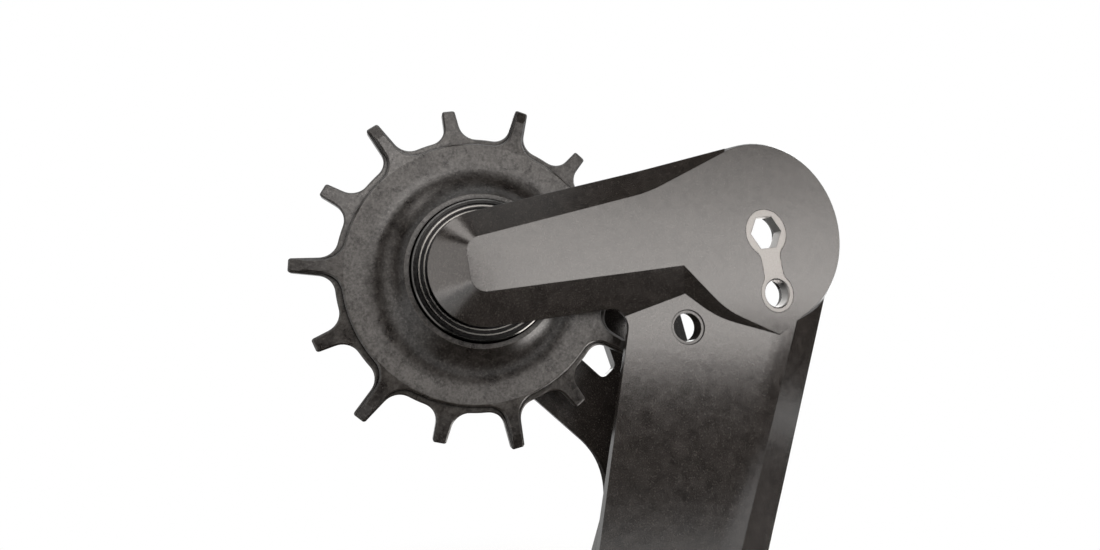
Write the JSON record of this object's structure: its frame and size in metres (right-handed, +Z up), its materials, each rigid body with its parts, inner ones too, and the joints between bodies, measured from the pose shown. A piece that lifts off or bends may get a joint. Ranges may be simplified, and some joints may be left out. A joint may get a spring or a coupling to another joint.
{
  "type": "rear derailleur cage",
  "caption": "Rear derailleur cage: bevelled outer and inner plates of moulded composite carrying toothed guide pulleys on sealed ball bearings, with a keyed metal drive insert.",
  "frame": {"origin": "the cage's pivot: the centre of the hex drive, on the outer plate's seat face", "axes": "+Y from the outer plate to the inner one, along the pivot and pulley axes; +Z up, with the blade hanging down; +X to the right seen from the seat face, so the pulleys lie towards -X"},
  "size_m": [0.1019, 0.0192, 0.1528],
  "materials": {
    "composite_plate": "moulded short-fibre carbon composite, dark grey, semi-gloss with a faint mottle",
    "wheel_composite": "moulded grey composite, cloudy, with a low sheen",
    "drive_metal": "pale bare metal, fine blasted",
    "bearing_steel": "ground and polished bearing steel",
    "retainer_plastic": "moulded nylon, natural colour",
    "seal_rubber": "black moulded rubber",
    "cap_metal": "turned and dark anodised, with fine rings at the rim",
    "bolt_steel": "machined steel, fine satin",
    "thread_brass": "turned brass, moulded in"
  },
  "bodies": {
    "cage": {"outer_plate": "composite_plate", "drive_insert": "drive_metal", "inner_plate": "composite_plate", "upper_cap_outer": "cap_metal", "upper_cap_inner": "cap_metal", "upper_bolt": "bolt_steel", "upper_thread_insert": "thread_brass", "upper_inner_race": "bearing_steel", "lower_cap_outer": "cap_metal", "lower_cap_inner": "cap_metal", "lower_bolt": "bolt_steel", "lower_thread_insert": "thread_brass", "lower_inner_race": "bearing_steel"},
    "upper_wheel": {"upper_pulley": "wheel_composite", "upper_outer_race": "bearing_steel", "upper_seal_outer": "seal_rubber", "upper_seal_inner": "seal_rubber"},
    "upper_ball_set": {"upper_balls": "bearing_steel", "upper_retainer": "retainer_plastic"},
    "lower_wheel": {"lower_pulley": "wheel_composite", "lower_outer_race": "bearing_steel", "lower_seal_outer": "seal_rubber", "lower_seal_inner": "seal_rubber"},
    "lower_ball_set": {"lower_balls": "bearing_steel", "lower_retainer": "retainer_plastic"}
  },
  "joints": [
    {"name": "upper_pulley_spin", "type": "hinge", "parent": "cage", "child": "upper_wheel", "pos_m": [-0.0529, 0.01, -0.0084], "axis": [0, 1, 0], "continuous": true},
    {"name": "upper_balls_orbit", "type": "hinge", "parent": "cage", "child": "upper_ball_set", "pos_m": [-0.0529, 0.01, -0.0084], "axis": [0, 1, 0], "continuous": true},
    {"name": "lower_pulley_spin", "type": "hinge", "parent": "cage", "child": "lower_wheel", "pos_m": [-0.0305, 0.01, -0.095], "axis": [0, 1, 0], "continuous": true},
    {"name": "lower_balls_orbit", "type": "hinge", "parent": "cage", "child": "lower_ball_set", "pos_m": [-0.0305, 0.01, -0.095], "axis": [0, 1, 0], "continuous": true}
  ],
  "couplings": [
    {"joint": "upper_balls_orbit", "follows": "upper_pulley_spin", "ratio": 0.6429},
    {"joint": "lower_balls_orbit", "follows": "lower_pulley_spin", "ratio": 0.6429}
  ]
}
